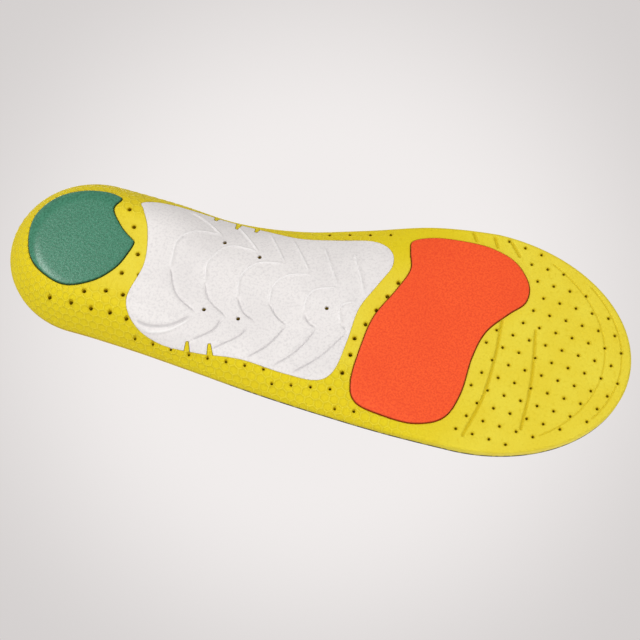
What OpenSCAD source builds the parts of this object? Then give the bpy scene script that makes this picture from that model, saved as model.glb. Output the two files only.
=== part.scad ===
// Cushioned insole for a left foot.
// Cupped foam base, printed cover cloth with its backing, heel pad, arch shank and forefoot pad,
// each bonded in its own pocket by a thin layer of cement.
// +X runs to the toe, +Z up through the cover, -Y to the inner side of the foot.

/* [Overall] */
// Length from the back of the heel to the tip of the toe
insole_length = 290; // [240:1:350]
// Width across the ball of the foot
insole_width = 105; // [87:1:126]

/* [Foam base] */
// Height of the rim behind the heel
heel_rim_height = 22; // [16:0.5:26]
// Height of the rim beside the arch
arch_rim_height = 24.5; // [18:0.5:28]
// Height of the rim on the outer side, at mid foot
outer_rim_height = 16; // [12:0.5:20]
// Foam thickness under the heel
heel_foam = 6; // [5:0.5:9]
// Foam thickness under the toes
toe_foam = 4.5; // [4:0.1:7]
// Width of the flat top of the rim
rim_width = 2.5; // [2:0.1:3.5]
// Foam left at the foot of the rim's outer side
rim_edge = 1.2; // [1:0.1:2]

/* [Cover] */
// Thickness of the printed cover cloth
cloth = 1; // [0.6:0.1:2]
// Thickness of the dark backing under the cloth
backing = 0.5; // [0.3:0.1:1]

/* [Pads and shank] */
// How far the pads stand out of the foam
pad_proud = 0.8; // [0.4:0.1:1.2]
// How deep the pads are let into the foam
pad_sink = 2; // [1:0.1:2.4]
// Thickness of the arch shank
shank_thickness = 1.6; // [1:0.1:2.2]
// Gap round each pad in its pocket
pocket_gap = 0.25; // [0.1:0.05:0.5]
// Thickness of the cement layers
cement = 0.15; // [0.1:0.05:0.3]

/* [Holes and grooves] */
// Diameter of the air holes under the toes
toe_hole = 1.2; // [0.8:0.1:2]
// Diameter of the air holes round the heel and the shank
heel_hole = 1.8; // [1.2:0.1:2.6]
// Spacing of the air holes under the toes
hole_pitch = 7.5; // [6.5:0.5:12]
// Width of the flex grooves
groove_width = 1.2; // [0.8:0.1:2.5]
// Depth of the flex grooves
groove_depth = 0.8; // [0.4:0.1:1.2]

/* [Hidden] */

// All plan coordinates below are drawn for this length and width, then scaled
drawn_length = 290;
drawn_width = 105;
sx = insole_length / drawn_length;
sy = insole_width / drawn_width;

// The rim's plan: straight stations from the heel's centre to the ball, then half ellipses
heel_x = -105;
ball_x = 75;
station_step = 30;
last_station = 6;
heel_reach = 40;
toe_reach = 70;
mid_line = [-4, -2.4, 0.6, 1.6, 1, -0.5, -1.2];
half_width = [37.5, 38.2, 39.2, 42.4, 46.4, 50.4, 51.8];

// Rim heights, wall starts (share of the half width) and wall curves at the same stations
toe_top = pad_proud + toe_foam;
inner_rim = [heel_rim_height, heel_rim_height + 1, arch_rim_height, arch_rim_height - 2, 15, 8, toe_top];
outer_rim = [heel_rim_height - 2, (heel_rim_height + outer_rim_height) / 2, outer_rim_height,
    outer_rim_height - 3, 9.5, 6.5, toe_top];
inner_start = [0.55, 0.36, 0.12, 0.1, 0.25, 0.5, 0.7];
outer_start = [0.55, 0.55, 0.6, 0.62, 0.66, 0.72, 0.8];
inner_curve = [2.2, 2.3, 2.4, 2.4, 2.2, 2, 2];
outer_curve = 2.2;
bed_curve = 2.2;
edge_fade = 4;
foam_depth = [heel_foam, heel_foam, heel_foam - 0.5, 5.2, 5, toe_foam, toe_foam];
arch_lift = [0, 0, 1.4, 1.4, 0, 0, 0];

// Plan outlines of the three inserts
heel_pad_mid = [-112, -5];
heel_pad_plan = [
    [-85.4, -8.8], [-86.3, -4], [-90, 5], [-98, 13.5], [-110, 18.5], [-122, 15], [-130, 8], [-134, -4],
    [-133, -14], [-126, -23], [-115, -28.5], [-104, -30.4], [-98, -29.4], [-97.2, -27.6], [-99, -22],
    [-93, -14.5], [-87, -10]
];
forefoot_mid = [56, 0];
forefoot_plan = [
    [38, -41], [47, -44.5], [60, -45.5], [73, -45], [85, -41], [93, -32], [93.5, -23], [87, -15.5],
    [79, -5], [75.5, 8], [74, 26], [69, 38.5], [57, 44], [42, 43.5], [30, 40.5], [26, 32],
    [26.5, 16], [29, 0], [36, -15], [40, -26], [38, -35]
];
shank_mid = [-30, 0];
shank_plan = [
    [-88, -30], [-80, -35], [-66, -37], [-48, -37], [-30, -35.5], [-14, -34], [4, -36], [20, -38],
    [29, -34], [31.5, -26], [27, -15], [21.5, -2], [20, 14], [17.5, 29], [11, 35], [-4, 35],
    [-24, 33], [-44, 34], [-62, 33], [-75, 28], [-81, 18], [-78, 0], [-81, -16], [-86, -26]
];

// Foam fingers that reach into the shank's edge: root, tip
shank_notches = [
    [[-48.5, 38], [-49.5, 30.5]], [[-37, 38], [-39.5, 29.5]],
    [[-55, -42], [-55, -34.5]], [[-44.5, -42], [-44, -32]], [[-35, -42], [-35, -33]]
];
notch_width = 4;
notch_tip = 1;
shank_holes = [[-46, -20.5], [-28.5, -17], [-46, 14.5], [-30, 15], [7.5, 1]];
heel_holes = [
    [-92, -24], [-87.5, -16], [-82, -3.5], [-86.5, 7], [-78.6, 6], [-100.5, 19.5], [-91, 17], [-83, 17],
    [-116, 24.5], [-105.5, 25], [-96, 25.5], [-87, 25.5], [-79, 26.5]
];
// Rows of holes round the shank's front: first, last, count
ball_row = [[36, -18.5], [23, 12], 5];
web_row = [[23, 20], [21.5, 29], 2];
// Rows of small holes: along the shank's outer edge, then beside the forefoot pad and the toes
small_rows = [
    [[-74, 32.6], [-47.8, 35], 4], [[-39, 35.1], [-13, 35], 4], [[-8, 40], [18, 37.5], 4],
    [[22, 45], [30.5, 44.5], 2], [[-1, -39.5], [27, -43.5], 4], [[80.5, -50.5], [96, -47.5], 3]
];

flex_grooves = [
    [[85, -12], [85.5, 5], [84, 25], [79, 44]],
    [[100.5, -11], [102.5, 4], [103.5, 18], [103, 35]],
    [[64, -51], [66, -47.5]], [[74, -50.5], [76, -46.5]], [[82, -50], [86.5, -44.5]]
];
// Lines to cut along for shorter sizes, set back from the toe
trim_lines = [12, 4.5];
trim_angles = [[-56, 46], [-44, 30]];
trim_width = 0.7;
trim_depth = 0.3;

// Mesh steps
outline_steps = 2;
trim_step = 6;
cap_steps = 8;
side_steps = 20;
cross_steps = 20;
pad_rings = 4;
shank_rings = 7;
hole_reach = 40;
tool_drop = 3;
tiny = 0.001;

// ---------- curves ----------
function spline4(a, b, c, d, t) =
    (2 * b + (c - a) * t + (2 * a - 5 * b + 4 * c - d) * t * t + (3 * b - a - 3 * c + d) * t * t * t) / 2;
function along(table, x) =
    let (u = max(0, min(last_station, (x - heel_x) / station_step)), i = min(floor(u), last_station - 1))
    spline4(table[max(i - 1, 0)], table[i], table[i + 1], table[min(i + 2, last_station)], u - i);
function closed_spline(points, steps) =
    let (n = len(points))
    [for (i = [0:n - 1], k = [0:steps - 1])
        spline4(points[(i + n - 1) % n], points[i], points[(i + 1) % n], points[(i + 2) % n], k / steps)];
function scaled(points) = [for (p = points) [p.x * sx, p.y * sy]];
function shrunk(points, mid, gap) = [for (p = points) let (v = p - mid) mid + v * (1 - gap / norm(v))];

// ---------- the foam's two surfaces, drawn coordinates in, heights out ----------
function overrun(x) = x < heel_x ? (x - heel_x) / heel_reach : x > ball_x ? (x - ball_x) / toe_reach : 0;
function across(x, y) = (y - along(mid_line, x)) / along(half_width, x);
function reach(x, y) = norm([overrun(x), across(x, y)]);
function inner_share(x, y) = (1 - across(x, y) / max(reach(x, y), tiny)) / 2;
function blend(inner, outer, share) = outer + (inner - outer) * share;
function wall(r, start, curve) = r > start ? pow((r - start) / (1 - start), curve) : 0;
function rim_top(x, share) = blend(along(inner_rim, x), along(outer_rim, x), share);
function wall_start(x, share) = blend(along(inner_start, x), along(outer_start, x), share);
function ground(x) = pad_proud + max(0, along(arch_lift, x));
function edge_left(rim) = rim_edge + (toe_foam - rim_edge) * exp((toe_top - rim) / edge_fade);

function under_drawn(x, y) =
    let (s = inner_share(x, y), rim = rim_top(x, s), base = ground(x))
    base + (rim - edge_left(rim) - base)
        * wall(reach(x, y), wall_start(x, s), blend(along(inner_curve, x), outer_curve, s));
function over_drawn(x, y) =
    let (s = inner_share(x, y), h = along(half_width, x), bed = ground(x) + along(foam_depth, x))
    bed + max(0, rim_top(x, s) - bed)
        * wall(min(1, reach(x, y) * h / (h - rim_width)), wall_start(x, s), bed_curve);
function under(x, y) = under_drawn(x / sx, y / sy);
function over(x, y) = over_drawn(x / sx, y / sy);

// ---------- plan stations of the rim ----------
stations = concat(
    [for (i = [0:cap_steps]) heel_x - heel_reach * cos(90 * i / cap_steps)],
    [for (i = [1:side_steps - 1]) heel_x + (ball_x - heel_x) * i / side_steps],
    [for (i = [0:cap_steps]) ball_x + toe_reach * sin(90 * i / cap_steps)]
);
last_row = len(stations) - 1;
function rim_half(i) = along(half_width, stations[i]) * sqrt(max(0, 1 - pow(overrun(stations[i]), 2)));
function rim_y(i, v) = along(mid_line, stations[i]) + rim_half(i) * v;
function rim_side(v) = [for (i = [0:last_row]) rim_y(i, v)];
centre_shift = -sy * (min(rim_side(-1)) + max(rim_side(1))) / 2;

// One row of plan points: a single point at the heel and toe tips, a full row elsewhere
function row(i) =
    (i == 0 || i == last_row)
        ? [[stations[i] * sx, rim_y(i, 0) * sy]]
        : [for (j = [0:cross_steps])
            [stations[i] * sx, rim_y(i, sin(90 * (2 * j / cross_steps - 1))) * sy]];
function row_start(i) = i == 0 ? 0 : 1 + (i - 1) * (cross_steps + 1);
function at(i, j) = row_start(i) + ((i == 0 || i == last_row) ? 0 : j);

// ---------- solids between two height functions ----------
module between(plan, low, high, triangles, loop) {
    n = len(plan);
    m = len(loop);
    polyhedron(
        points = concat(
            [for (p = plan) [p.x, p.y, low(p.x, p.y)]],
            [for (p = plan) [p.x, p.y, high(p.x, p.y)]]
        ),
        faces = concat(
            triangles,
            [for (t = triangles) [t[0] + n, t[2] + n, t[1] + n]],
            [for (k = [0:m - 1]) [loop[k], loop[k] + n, loop[(k + 1) % m] + n]],
            [for (k = [0:m - 1]) [loop[k], loop[(k + 1) % m] + n, loop[(k + 1) % m]]]
        )
    );
}

// A layer with the insole's own outline
module layer(low, high) {
    plan = [for (i = [0:last_row]) each row(i)];
    inner = [for (i = [0:last_row - 1], j = [0:cross_steps - 1])
        if (i < last_row - 1) [at(i, j), at(i + 1, j), at(i + 1, j + 1)]];
    outer = [for (i = [1:last_row - 1], j = [0:cross_steps - 1])
        i < last_row - 1
            ? [at(i, j), at(i + 1, j + 1), at(i, j + 1)]
            : [at(i, j), at(last_row, 0), at(i, j + 1)]];
    loop = concat(
        [for (i = [0:last_row]) at(i, 0)],
        [for (i = [last_row - 1:-1:1]) at(i, cross_steps)]
    );
    between(plan, low, high, concat(inner, outer), loop);
}

// A plate with an outline of its own, in rings round a middle point
module plate(outline, mid, rings, low, high) {
    n = len(outline);
    shares = [for (k = [1:rings]) k / rings];
    plan = concat([mid], [for (f = shares, p = outline) mid + (p - mid) * f]);
    fan = [for (i = [0:n - 1]) [0, 1 + i, 1 + (i + 1) % n]];
    bands = [for (k = [0:rings - 2], i = [0:n - 1])
        let (a = 1 + k * n, b = a + n, j = (i + 1) % n)
        each [[a + i, b + i, b + j], [a + i, b + j, a + j]]];
    loop = [for (i = [0:n - 1]) 1 + (rings - 1) * n + i];
    between(plan, low, high, concat(fan, bands), loop);
}

// An insert drawn in plan, from low to high above the foam's underside
module insert(drawn, drawn_mid, rings, low, high, gap = 0) {
    plate(
        pad_outline(drawn, drawn_mid, gap), scaled([drawn_mid])[0], rings,
        function (x, y) under(x, y) + low, function (x, y) under(x, y) + high
    );
}

// A groove's cutter along a line of plan points, from below the flat sole upwards
module groove(line, width, depth) {
    n = len(line);
    side = [for (i = [0:n - 1])
        let (v = line[min(i + 1, n - 1)] - line[max(i - 1, 0)]) [-v.y, v.x] * width / 2 / norm(v)];
    translate([0, 0, pad_proud - tool_drop])
        linear_extrude(tool_drop + depth)
            polygon(concat(
                [for (i = [0:n - 1]) line[i] + side[i]],
                [for (i = [n - 1:-1:0]) line[i] - side[i]]
            ));
}

module hole(p, d) {
    translate([p.x * sx, p.y * sy, -tool_drop])
        cylinder(h = hole_reach, d = d);
}

module hole_row(row, d) {
    for (k = [0:row[2] - 1])
        hole(row[0] + (row[1] - row[0]) * k / (row[2] - 1), d);
}

// A wedge that stays foam inside the shank's edge
module finger(ends, slack) {
    v = scaled([ends[1] - ends[0]])[0];
    root = scaled([ends[0]])[0];
    s = [-v.y, v.x] / norm(v) / 2;
    tip = root + v * (1 + slack / norm(v));
    linear_extrude(hole_reach)
        polygon([
            root - s * (notch_width + 2 * slack), tip - s * (notch_tip + 2 * slack),
            tip + s * (notch_tip + 2 * slack), root + s * (notch_width + 2 * slack)
        ]);
}

function pad_outline(plan, mid, gap) =
    shrunk(closed_spline(scaled(plan), outline_steps), scaled([mid])[0], gap);

// True where p, seen from mid, is no further out than the outline is in that direction
look_angle = 9;
function inside(outline, mid, p, margin) =
    let (v = p - mid, a = atan2(v.y, v.x), n = len(outline))
    max([for (i = [0:n - 1])
        let (q = outline[i] - mid, e = atan2(q.y, q.x) - a, w = min(abs(e), 360 - abs(e)))
        w < look_angle ? norm(q) : 0]) + margin > norm(v);

// Air holes under the toes, on a leaning grid, wherever they clear the forefoot pad and the rim
hole_origin = [101, -27];
hole_across = [1, 0.08];
hole_up = [0.56, 0.99];
hole_margin = 2.5;
toe_limit = 0.94;
toe_start = 70;
grid_reach = 12;
function toe_holes() =
    let (outline = closed_spline(forefoot_plan, outline_steps))
    [for (i = [-grid_reach:grid_reach], j = [-grid_reach:grid_reach])
        let (p = hole_origin + hole_pitch * (i * hole_across + j * hole_up))
        if (p.x > toe_start && reach(p.x, p.y) < toe_limit
            && !inside(outline, forefoot_mid, p, hole_margin)) p];

function trim_line(setback, angles) =
    [for (a = [angles[0]:trim_step:angles[1]])
        [ball_x - setback + toe_reach * cos(a), mid_line[last_station] + half_width[last_station] * sin(a)]];

// ---------- the pieces ----------
module centred() {
    translate([0, centre_shift, 0])
        children();
}

module foam_base() {
    color([0.88, 0.82, 0.25])
        centred()
            difference() {
                layer(function (x, y) under(x, y), function (x, y) over(x, y));
                insert(heel_pad_plan, heel_pad_mid, pad_rings, -tool_drop, pad_sink + cement, -pocket_gap);
                insert(forefoot_plan, forefoot_mid, pad_rings, -tool_drop, pad_sink + cement, -pocket_gap);
                difference() {
                    insert(
                        shank_plan, shank_mid, shank_rings, -tool_drop, shank_thickness + cement, -pocket_gap
                    );
                    for (f = shank_notches)
                        finger(f, 0);
                }
                for (p = toe_holes())
                    hole(p, toe_hole);
                for (p = concat(heel_holes, shank_holes))
                    hole(p, heel_hole);
                for (r = [ball_row, web_row])
                    hole_row(r, heel_hole);
                for (r = small_rows)
                    hole_row(r, toe_hole);
                for (g = flex_grooves)
                    groove(scaled(g), groove_width, groove_depth);
                for (k = [0:len(trim_lines) - 1])
                    groove(scaled(trim_line(trim_lines[k], trim_angles[k])), trim_width, trim_depth);
            }
}

module cover_adhesive() {
    color([0.85, 0.8, 0.6])
        centred()
            layer(function (x, y) over(x, y), function (x, y) over(x, y) + cement);
}

module cover_backing() {
    color([0.12, 0.14, 0.12])
        centred()
            layer(function (x, y) over(x, y) + cement, function (x, y) over(x, y) + cement + backing);
}

module top_cover() {
    color([0.9, 0.8, 0.2])
        centred()
            layer(
                function (x, y) over(x, y) + cement + backing,
                function (x, y) over(x, y) + cement + backing + cloth
            );
}

module heel_pad() {
    color([0.3, 0.55, 0.45])
        centred()
            insert(heel_pad_plan, heel_pad_mid, pad_rings, -pad_proud, pad_sink);
}

module heel_pad_adhesive() {
    color([0.85, 0.8, 0.6])
        centred()
            insert(heel_pad_plan, heel_pad_mid, pad_rings, pad_sink, pad_sink + cement);
}

module shank_cuts() {
    for (p = shank_holes)
        hole(p, heel_hole);
    for (f = shank_notches)
        finger(f, pocket_gap);
}

module arch_shank() {
    color([0.88, 0.88, 0.87])
        centred()
            difference() {
                insert(shank_plan, shank_mid, shank_rings, 0, shank_thickness);
                shank_cuts();
            }
}

module shank_adhesive() {
    color([0.85, 0.8, 0.6])
        centred()
            difference() {
                insert(shank_plan, shank_mid, shank_rings, shank_thickness, shank_thickness + cement);
                shank_cuts();
            }
}

module forefoot_pad() {
    color([0.95, 0.38, 0.18])
        centred()
            insert(forefoot_plan, forefoot_mid, pad_rings, -pad_proud, pad_sink);
}

module forefoot_pad_adhesive() {
    color([0.85, 0.8, 0.6])
        centred()
            insert(forefoot_plan, forefoot_mid, pad_rings, pad_sink, pad_sink + cement);
}

foam_base();
cover_adhesive();
cover_backing();
top_cover();
heel_pad();
heel_pad_adhesive();
arch_shank();
shank_adhesive();
forefoot_pad();
forefoot_pad_adhesive();
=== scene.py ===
"""A cushioned insole for a left foot: a cupped foam base with bonded inserts under a printed cover."""

import math

import bmesh
import bpy
import numpy as np
from bpy.props import FloatProperty, FloatVectorProperty, PointerProperty
from mathutils import Matrix, Vector


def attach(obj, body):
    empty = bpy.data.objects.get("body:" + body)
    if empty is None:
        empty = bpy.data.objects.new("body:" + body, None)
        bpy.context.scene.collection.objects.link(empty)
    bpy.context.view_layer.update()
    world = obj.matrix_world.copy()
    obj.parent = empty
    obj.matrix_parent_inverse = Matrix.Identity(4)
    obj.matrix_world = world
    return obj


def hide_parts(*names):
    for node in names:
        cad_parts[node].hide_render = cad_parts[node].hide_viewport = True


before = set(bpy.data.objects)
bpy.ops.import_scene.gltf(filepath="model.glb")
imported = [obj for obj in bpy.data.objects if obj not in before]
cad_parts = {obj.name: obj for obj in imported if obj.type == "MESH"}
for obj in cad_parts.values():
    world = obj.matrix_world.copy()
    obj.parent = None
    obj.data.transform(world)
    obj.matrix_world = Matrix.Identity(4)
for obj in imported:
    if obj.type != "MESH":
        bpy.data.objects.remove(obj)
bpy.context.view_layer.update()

bl_info = {
    "name": "Cushioned Insole",
    "version": (1, 0, 0),
    "blender": (4, 5, 0),
    "location": "View3D > Sidebar > Insole",
    "description": "Builds a moulded foam insole with its pads, arch shank and printed cover",
    "category": "Add Mesh",
}

MM = 0.001

# ---------- the design's own sizes, in millimetres ----------
# Plan of the rim: straight stations from the heel's centre to the ball, then a half ellipse at each end
HEEL_X, BALL_X, STATION = -105, 75, 30
HEEL_REACH, TOE_REACH = 40, 70
MID_LINE = (-4, -2.4, 0.6, 1.6, 1, -0.5, -1.2)
HALF_WIDTH = (37.5, 38.2, 39.2, 42.4, 46.4, 50.4, 51.8)

# Rim heights, the share of the half width where each wall starts, and each wall's curve, at the same stations
PROUD = 0.8
TOE_FOAM = 4.5
TOE_TOP = PROUD + TOE_FOAM
INNER_RIM = (22, 23, 24.5, 22.5, 15, 8, TOE_TOP)
OUTER_RIM = (20, 19, 16, 13, 9.5, 6.5, TOE_TOP)
INNER_START = (0.55, 0.36, 0.12, 0.1, 0.25, 0.5, 0.7)
OUTER_START = (0.55, 0.55, 0.6, 0.62, 0.66, 0.72, 0.8)
INNER_CURVE = (2.2, 2.3, 2.4, 2.4, 2.2, 2, 2)
OUTER_CURVE = BED_CURVE = 2.2
FOAM_DEPTH = (6, 6, 5.5, 5.2, 5, 4.5, 4.5)
ARCH_LIFT = (0, 0, 1.4, 1.4, 0, 0, 0)
RIM_WIDTH, RIM_EDGE, EDGE_FADE = 2.5, 1.2, 4

# Thicknesses and clearances
PAD_SINK, SHANK_DEEP, CEMENT, BACKING, CLOTH = 2, 1.6, 0.15, 0.5, 1
POCKET_GAP = 0.25

# Plan outlines of the inserts, with the middle point that their rings shrink to
HEEL_PAD = ((-112, -5), (
    (-85.4, -8.8), (-86.3, -4), (-90, 5), (-98, 13.5), (-110, 18.5), (-122, 15), (-130, 8), (-134, -4),
    (-133, -14), (-126, -23), (-115, -28.5), (-104, -30.4), (-98, -29.4), (-97.2, -27.6), (-99, -22),
    (-93, -14.5), (-87, -10)))
FOREFOOT_PAD = ((56, 0), (
    (38, -41), (47, -44.5), (60, -45.5), (73, -45), (85, -41), (93, -32), (93.5, -23), (87, -15.5),
    (79, -5), (75.5, 8), (74, 26), (69, 38.5), (57, 44), (42, 43.5), (30, 40.5), (26, 32),
    (26.5, 16), (29, 0), (36, -15), (40, -26), (38, -35)))
SHANK = ((-30, 0), (
    (-88, -30), (-80, -35), (-66, -37), (-48, -37), (-30, -35.5), (-14, -34), (4, -36), (20, -38),
    (29, -34), (31.5, -26), (27, -15), (21.5, -2), (20, 14), (17.5, 29), (11, 35), (-4, 35),
    (-24, 33), (-44, 34), (-62, 33), (-75, 28), (-81, 18), (-78, 0), (-81, -16), (-86, -26)))

# Foam fingers that reach into the shank's edge, root and tip, and the air holes
FINGERS = (((-48.5, 38), (-49.5, 30.5)), ((-37, 38), (-39.5, 29.5)), ((-55, -42), (-55, -34.5)),
           ((-44.5, -42), (-44, -32)), ((-35, -42), (-35, -33)))
FINGER_ROOT, FINGER_TIP = 4, 1
SHANK_HOLES = ((-46, -20.5), (-28.5, -17), (-46, 14.5), (-30, 15), (7.5, 1))
HEEL_HOLES = (
    (-92, -24), (-87.5, -16), (-82, -3.5), (-86.5, 7), (-78.6, 6), (-100.5, 19.5), (-91, 17), (-83, 17),
    (-116, 24.5), (-105.5, 25), (-96, 25.5), (-87, 25.5), (-79, 26.5))
HOLE_ROWS = (((36, -18.5), (23, 12), 5), ((23, 20), (21.5, 29), 2))
SMALL_ROWS = (((-74, 32.6), (-47.8, 35), 4), ((-39, 35.1), (-13, 35), 4), ((-8, 40), (18, 37.5), 4),
              ((22, 45), (30.5, 44.5), 2), ((-1, -39.5), (27, -43.5), 4), ((80.5, -50.5), (96, -47.5), 3))
HOLE_ORIGIN, HOLE_ACROSS, HOLE_UP, HOLE_PITCH = (101, -27), (1, 0.08), (0.56, 0.99), 7.5
HOLE_MARGIN, TOE_LIMIT, TOE_START, GRID_REACH = 2.5, 0.94, 70, 12
HEEL_HOLE, TOE_HOLE = 1.8, 1.2

# Flex grooves under the toes and beside the forefoot pad, and the trim lines set back from the toe
GROOVES = (((85, -12), (85.5, 5), (84, 25), (79, 44)), ((100.5, -11), (102.5, 4), (103.5, 18), (103, 35)),
           ((64, -51), (66, -47.5)), ((74, -50.5), (76, -46.5)), ((82, -50), (86.5, -44.5)))
TRIM_LINES = ((12, -56, 46), (4.5, -44, 30))

# Relief on the shank: each arc opens to the toe; its heelward half stands up, the rest is sunk
ARCS = (
    ((-48.5, -24.8), (-60, -22), (-66.5, -14), (-66, -1), (-60, 10.5), (-49, 17)),
    ((-30.5, -19.9), (-43, -19), (-50, -8.5), (-49, 2), (-45, 9.5), (-35.5, 15.5)),
    ((-17, -16.2), (-28, -13.5), (-34, -5), (-33, 5), (-28.5, 11.5), (-22.5, 14.5)),
    ((-4, -13.4), (-13.5, -10.5), (-18.5, -4), (-18.5, 4.5), (-13.5, 10), (-8, 13)),
    ((9.5, -9.6), (0.5, -6.5), (-2.5, -1), (-2, 5.5), (1, 9.5), (5.5, 11.5)),
    ((19, -5), (14, -2), (13.5, 2), (15.5, 7), (19, 10)))
UPPER_LINES = (
    ((-48.3, -24), (-58, -30.8), (-67, -34.6)), ((-30, -20), (-44, -34)), ((-16.5, -16.5), (-28, -33)),
    ((-4.5, -14.5), (-16.5, -31.5)), ((9.5, -10.5), (-1.5, -30)), ((22, -10), (13, -29)))
LOWER_LINES = (
    ((-37, 16.6), (-39.8, 23.2), (-48, 30)), ((-25, 18), (-27.8, 23.1), (-38, 31.8)),
    ((-8, 13), (-14, 24), (-22, 32.2)), ((5.5, 11.6), (-1, 24), (-9.5, 33)),
    ((19, 10), (10, 24), (-0.3, 34)))
HEEL_CRESCENT = ((-75.7, 26.6), (-67.6, 27.5), (-58.7, 25.3), (-50.8, 18.7))
CRESCENT_LIP = [(x + 0.4, y + 2) for x, y in HEEL_CRESCENT]

# Every relief line's points, its half width, and 1 where it stands up or -1 where it is sunk
RELIEF_LINES = (
    *((arc[:4], 0.9, 1) for arc in ARCS), *((line, 0.8, 1) for line in UPPER_LINES), (CRESCENT_LIP, 1.0, 1),
    *((arc[3:], 0.75, -1) for arc in ARCS), *((line, 0.85, -1) for line in LOWER_LINES),
    (HEEL_CRESCENT, 1.3, -1))


# ---------- the two moulded surfaces ----------
def cubic(a, b, c, d, t):
    """A smooth curve from b to c that leans on the values before and after them."""
    return (2 * b + (c - a) * t + (2 * a - 5 * b + 4 * c - d) * t**2 + (3 * b - a - 3 * c + d) * t**3) / 2


def along(table, x):
    """A table of values at the stations, read on a smooth curve at x."""
    padded = np.array((table[0], *table, table[-1]), float)
    place = np.clip((np.asarray(x, float) - HEEL_X) / STATION, 0, len(table) - 1)
    i = np.minimum(place.astype(int), len(table) - 2)
    return cubic(*(padded[i + k] for k in range(4)), place - i)


def mid_line(x):
    return along(MID_LINE, x) + SHIFT


def overrun(x):
    return np.where(x < HEEL_X, (x - HEEL_X) / HEEL_REACH, np.where(x > BALL_X, (x - BALL_X) / TOE_REACH, 0))


def reach_of(x, y):
    """How far out a plan point is, from 0 on the middle line to 1 on the rim, and the inner side's share."""
    across = (y - mid_line(x)) / along(HALF_WIDTH, x)
    reach = np.hypot(overrun(x), across)
    return reach, (1 - across / np.maximum(reach, 0.001)) / 2


def mixed(inner, outer, share):
    return outer + (inner - outer) * share


def wall(reach, start, curve):
    return np.clip((reach - start) / (1 - start), 0, None) ** curve


def ground(x):
    return PROUD + np.maximum(0, along(ARCH_LIFT, x))


def edge_left(rim):
    return RIM_EDGE + (TOE_FOAM - RIM_EDGE) * np.exp((TOE_TOP - rim) / EDGE_FADE)


def under(x, y):
    """Height of the foam's underside."""
    reach, share = reach_of(x, y)
    rim = mixed(along(INNER_RIM, x), along(OUTER_RIM, x), share)
    start = mixed(along(INNER_START, x), along(OUTER_START, x), share)
    curve = mixed(along(INNER_CURVE, x), OUTER_CURVE, share)
    base = ground(x)
    return base + (rim - edge_left(rim) - base) * wall(reach, start, curve)


def over(x, y):
    """Height of the foam's upper side, which the cover lies on."""
    reach, share = reach_of(x, y)
    half = along(HALF_WIDTH, x)
    rim = mixed(along(INNER_RIM, x), along(OUTER_RIM, x), share)
    start = mixed(along(INNER_START, x), along(OUTER_START, x), share)
    bed = ground(x) + along(FOAM_DEPTH, x)
    inside = np.minimum(1, reach * half / (half - RIM_WIDTH))
    return bed + np.maximum(0, rim - bed) * wall(inside, start, BED_CURVE)


def above(surface, rise):
    """A surface moved up by a rise, or down where it is below 0."""
    return lambda x, y: surface(x, y) + rise


def centring():
    """What moves the drawn outline sideways so that it is centred on the row's frame."""
    x = np.linspace(HEEL_X, BALL_X, 181)
    middle, half = along(MID_LINE, x), along(HALF_WIDTH, x)
    return -float((middle - half).min() + (middle + half).max()) / 2


SHIFT = centring()


# ---------- plan curves ----------
def placed(points):
    """Drawn plan points moved into the row frame."""
    return np.array(points, float) + (0, SHIFT)


def spline(points, step, closed=False):
    """A smooth curve through the points, with a point about every step."""
    p = np.array(points, float)
    around = np.vstack((p[-1:], p, p[:2])) if closed else np.vstack((2 * p[0] - p[1], p, 2 * p[-1] - p[-2]))
    t = np.linspace(0, 1, 24, endpoint=False)[:, None]
    spans = [cubic(*four, t) for four in zip(around, around[1:], around[2:], around[3:])]
    curve = np.vstack((*spans, p[:1] if closed else p[-1:]))
    walked = np.concatenate(([0], np.hypot(*np.diff(curve, axis=0).T).cumsum()))
    count = max(2, round(walked[-1] / step))
    even = np.linspace(0, walked[-1], count + 1)[: count if closed else count + 1]
    return np.column_stack([np.interp(even, walked, curve[:, k]) for k in range(2)])


def outward(loop):
    """Unit vectors pointing out of a closed plan curve."""
    along_it = np.roll(loop, -1, 0) - np.roll(loop, 1, 0)
    out = np.column_stack((along_it[:, 1], -along_it[:, 0])) / np.hypot(*along_it.T)[:, None]
    area = np.sum(loop[:, 0] * np.roll(loop[:, 1], -1) - np.roll(loop[:, 0], -1) * loop[:, 1])
    return out * np.sign(area)


def distance(xy, line):
    """Plan distance from each point to a line of points."""
    best = np.full(len(xy), 1e9)
    for a, b in zip(line, line[1:]):
        t = np.clip((xy - a) @ (b - a) / max((b - a) @ (b - a), 1e-9), 0, 1)
        best = np.minimum(best, np.hypot(*(xy - a - t[:, None] * (b - a)).T))
    return best


def nearest(xy, lines):
    return np.min([distance(xy, line) for line in lines], axis=0)


def smoothstep(low, high, value):
    t = np.clip((value - low) / (high - low), 0, 1)
    return t * t * (3 - 2 * t)


# ---------- meshes ----------
def show(name, bm):
    """Writes a bmesh to a new object at the origin."""
    mesh = bpy.data.meshes.new(name)
    bm.to_mesh(mesh)
    bm.free()
    piece = bpy.data.objects.new(name, mesh)
    bpy.context.scene.collection.objects.link(piece)
    return piece


def skin(name, rows):
    """A grid bent through closed rows of points in millimetres, with its seam and its poles merged."""
    rows = np.asarray(rows, float)
    rows = np.concatenate((rows, rows[:, :1]), axis=1)
    count, columns, _ = rows.shape
    bm = bmesh.new()
    bmesh.ops.create_grid(bm, x_segments=columns - 1, y_segments=count - 1, size=1)
    for vert, point in zip(bm.verts, (rows * MM).reshape(-1, 3).tolist()):
        vert.co = point
    bmesh.ops.remove_doubles(bm, verts=bm.verts, dist=2e-6)
    bmesh.ops.recalc_face_normals(bm, faces=bm.faces)
    return show(name, bm)


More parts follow.
